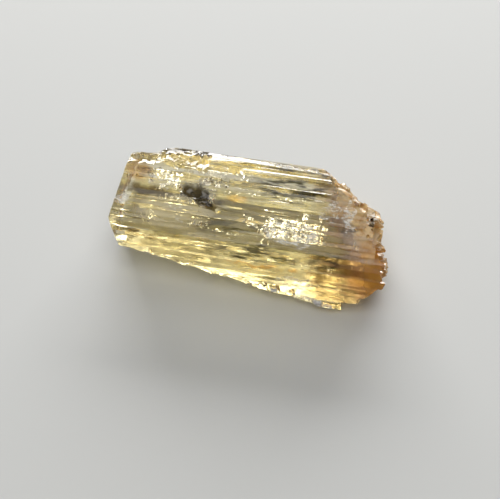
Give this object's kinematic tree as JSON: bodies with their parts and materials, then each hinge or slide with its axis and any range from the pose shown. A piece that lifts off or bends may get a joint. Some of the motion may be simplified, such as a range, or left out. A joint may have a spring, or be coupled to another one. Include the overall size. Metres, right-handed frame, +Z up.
{
  "type": "topaz crystal",
  "caption": "Rough golden topaz crystal: a striated prism lying on its side, with a clean cleavage at one end and a broken, stepped end at the other.",
  "frame": {"origin": "centre of the crystal's footprint, on the plane that its flat resting face lies on", "axes": "+X along the prism to its broken end, +Y to the back, +Z up"},
  "size_m": [0.025, 0.0122, 0.007],
  "materials": {
    "golden_topaz": "clear golden stone, striated and broken"
  },
  "bodies": {
    "root": {"topaz_crystal": "golden_topaz"}
  },
  "joints": []
}
